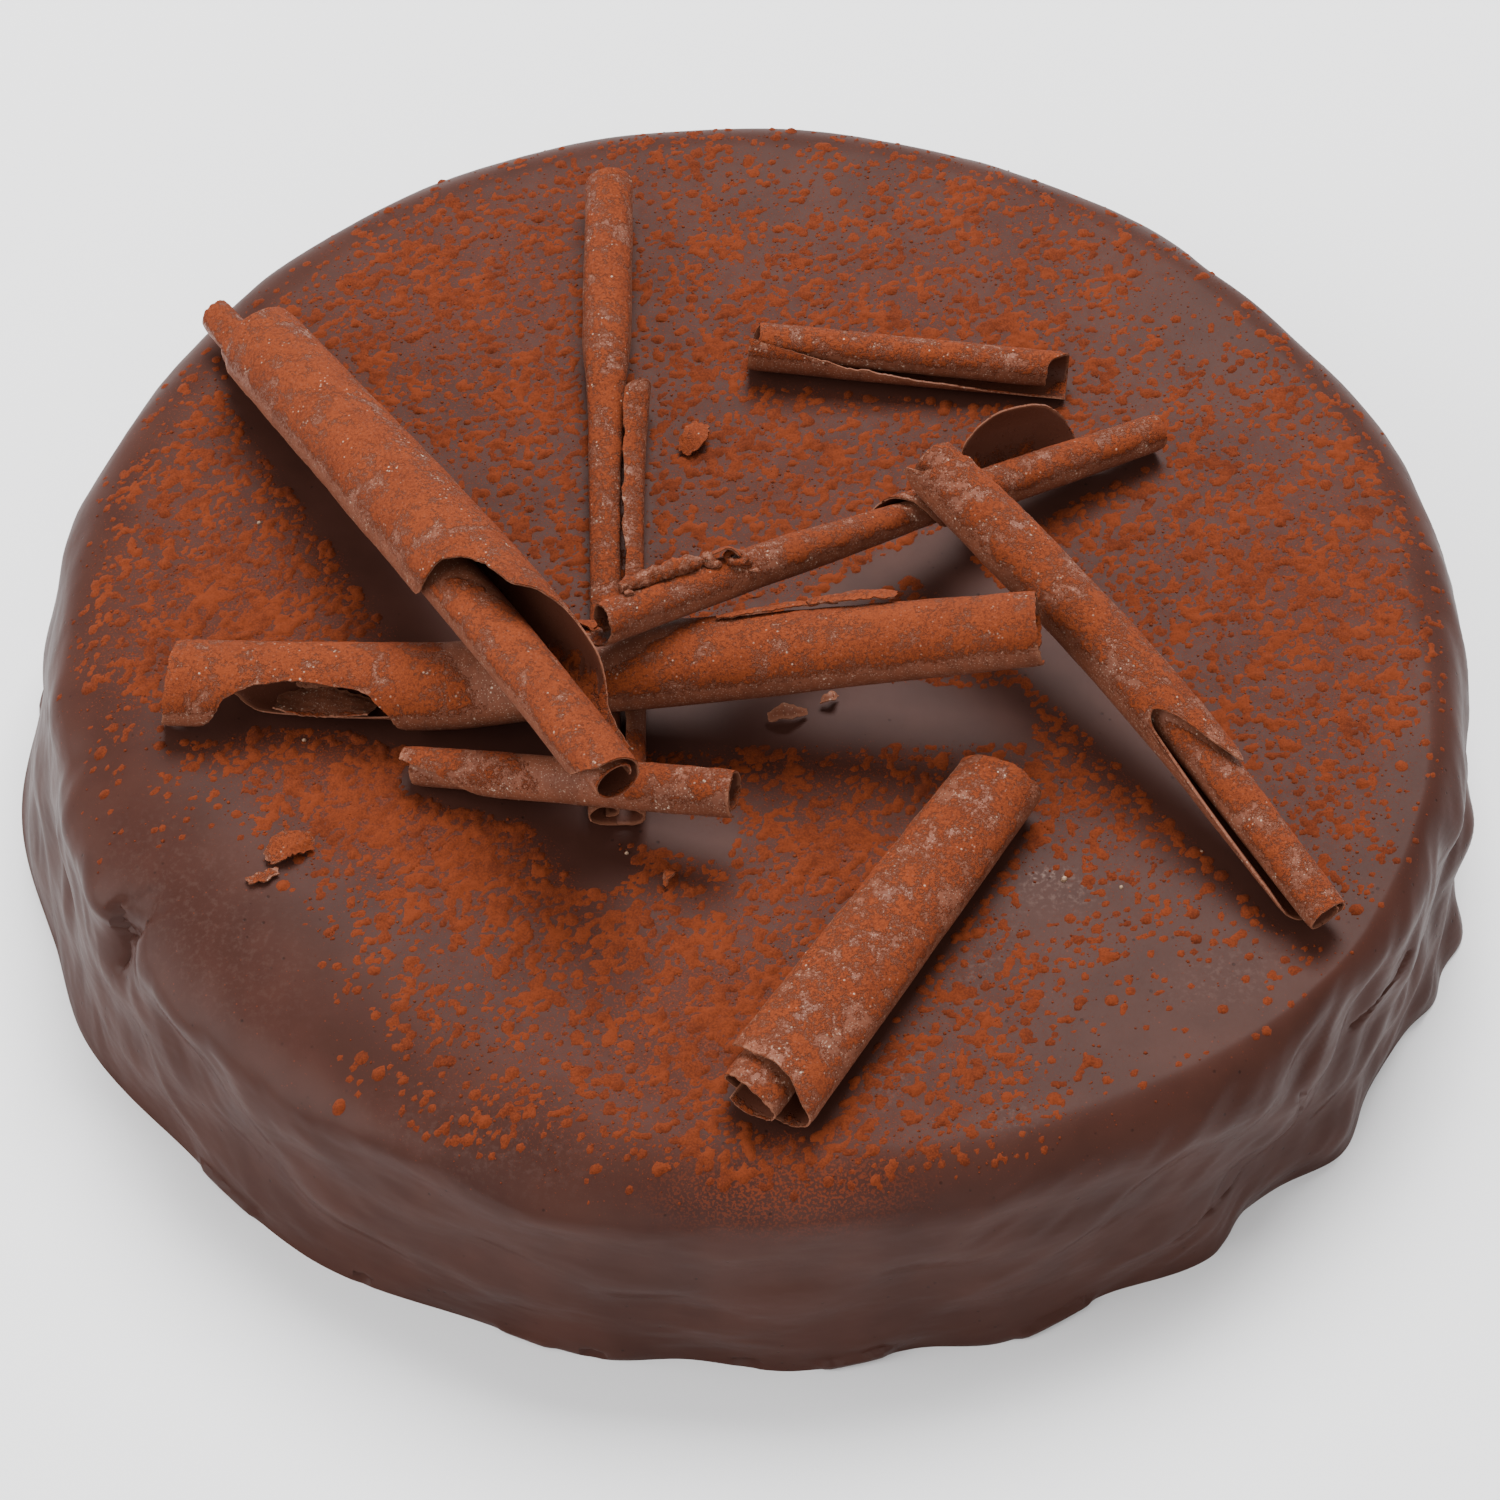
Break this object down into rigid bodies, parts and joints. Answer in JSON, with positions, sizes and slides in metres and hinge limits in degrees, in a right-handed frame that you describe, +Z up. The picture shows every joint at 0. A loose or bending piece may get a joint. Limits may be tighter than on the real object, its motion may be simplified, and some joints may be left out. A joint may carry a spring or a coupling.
{
  "type": "chocolate cake",
  "caption": "Round cake coated in chocolate glaze and dusted with cocoa, with rolled chocolate curls lying across its flat top.",
  "frame": {"origin": "middle of the cake's flat base", "axes": "+Z up out of the flat top; -Y towards the side that faced the camera, where the flat curl lies; +X to the right"},
  "size_m": [0.2488, 0.2423, 0.0738],
  "materials": {
    "glaze": "dark brown chocolate glaze with a soft satin sheen, dusted with orange-brown cocoa on top",
    "shaved_chocolate": "matt milk-brown shaved chocolate, smooth inside, with patches of cocoa and pale specks outside",
    "cocoa": "dry velvety orange-brown cocoa powder in small clumps"
  },
  "bodies": {
    "root": {"cake": "glaze", "curl_across_left": "shaved_chocolate", "curl_wide_cross": "shaved_chocolate", "curl_slanting_slim": "shaved_chocolate", "curl_right_long": "shaved_chocolate", "curl_front_flat": "shaved_chocolate", "curl_small_low": "shaved_chocolate", "curl_back_small": "shaved_chocolate", "curl_back_slim": "shaved_chocolate"}
  },
  "joints": []
}
